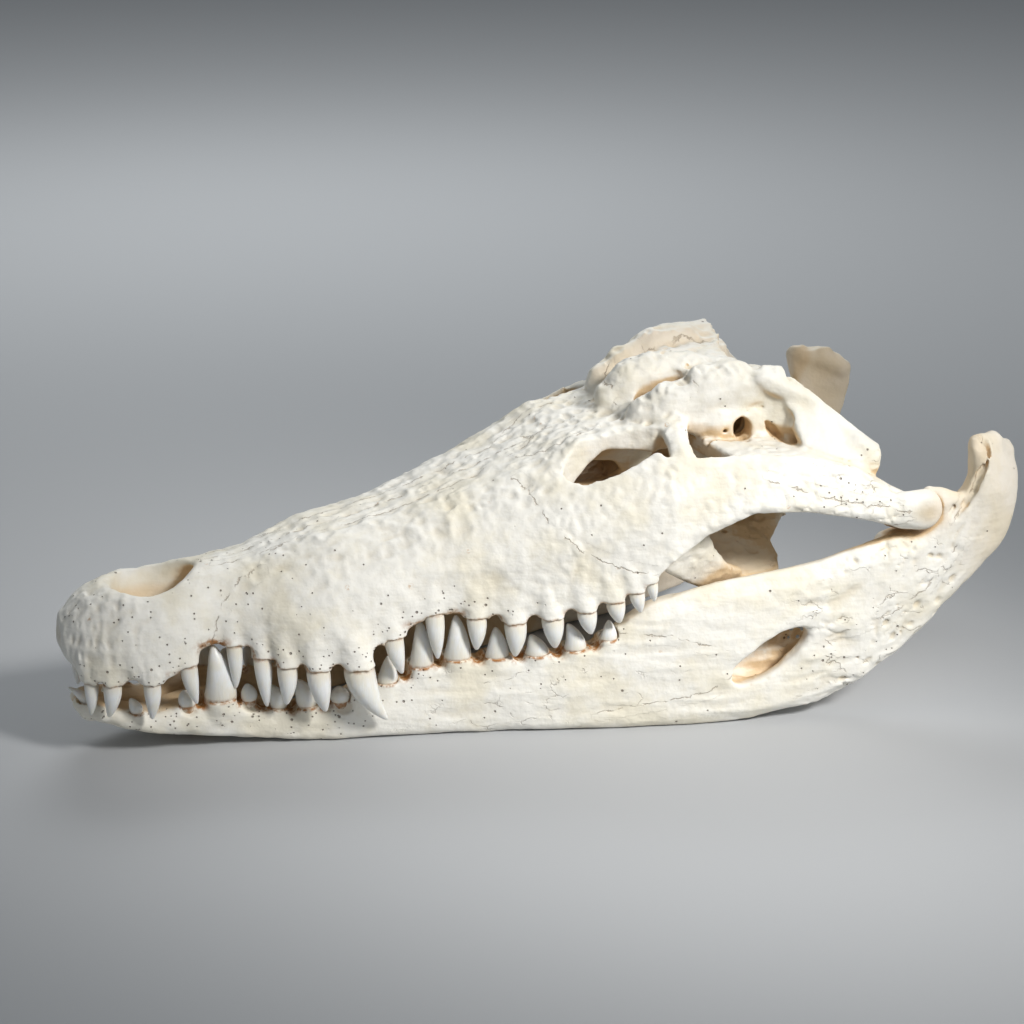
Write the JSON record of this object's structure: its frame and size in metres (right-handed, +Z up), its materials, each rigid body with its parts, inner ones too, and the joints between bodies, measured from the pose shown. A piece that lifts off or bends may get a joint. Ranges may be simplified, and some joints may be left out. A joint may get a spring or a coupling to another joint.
{
  "type": "crocodile skull",
  "caption": "Whole saltwater crocodile skull with its lower jaw and teeth, jaws nearly closed, lying on the lower jaw as a museum shows it.",
  "frame": {"origin": "middle of the skull's box, on the surface that the lower jaw lies on", "axes": "+X runs from the snout to the back of the head, +Y to the animal's right, +Z up"},
  "size_m": [0.5998, 0.27, 0.2249],
  "materials": {
    "bone": "matte",
    "tooth": "satin"
  },
  "bodies": {
    "root": {"cranium": "bone", "mandible_left": "bone", "mandible_right": "bone"}
  },
  "joints": []
}
